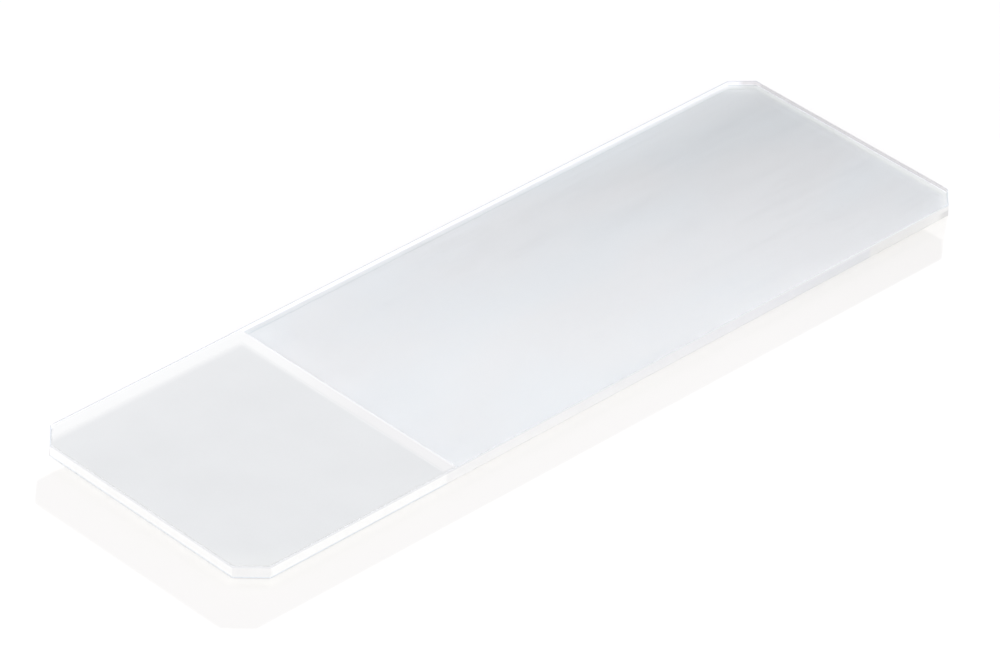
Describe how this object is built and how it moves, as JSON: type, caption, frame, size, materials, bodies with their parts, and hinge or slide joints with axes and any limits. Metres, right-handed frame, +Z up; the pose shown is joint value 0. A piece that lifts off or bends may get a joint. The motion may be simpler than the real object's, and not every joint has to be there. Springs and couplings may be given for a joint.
{
  "type": "microscope slide",
  "caption": "Flat clear glass microscope slide with clipped corners and ground edges, and a white coat with a grey writing field across one end.",
  "frame": {"origin": "middle of the underside, where the glass rests on a stage or bench", "axes": "+X along the slide from the marked end to the clear end, +Y across it from the front long edge to the back one, +Z up out of the face that carries the marking"},
  "size_m": [0.075, 0.025, 0.001],
  "materials": {
    "clear_glass": "polished faces, ground edges",
    "white_coat": "matt printed coat",
    "grey_ink": "matt printed ink with a fine tooth"
  },
  "bodies": {
    "root": {"glass_slide": "clear_glass", "white_base_coat": "white_coat", "grey_writing_field": "grey_ink"}
  },
  "joints": []
}
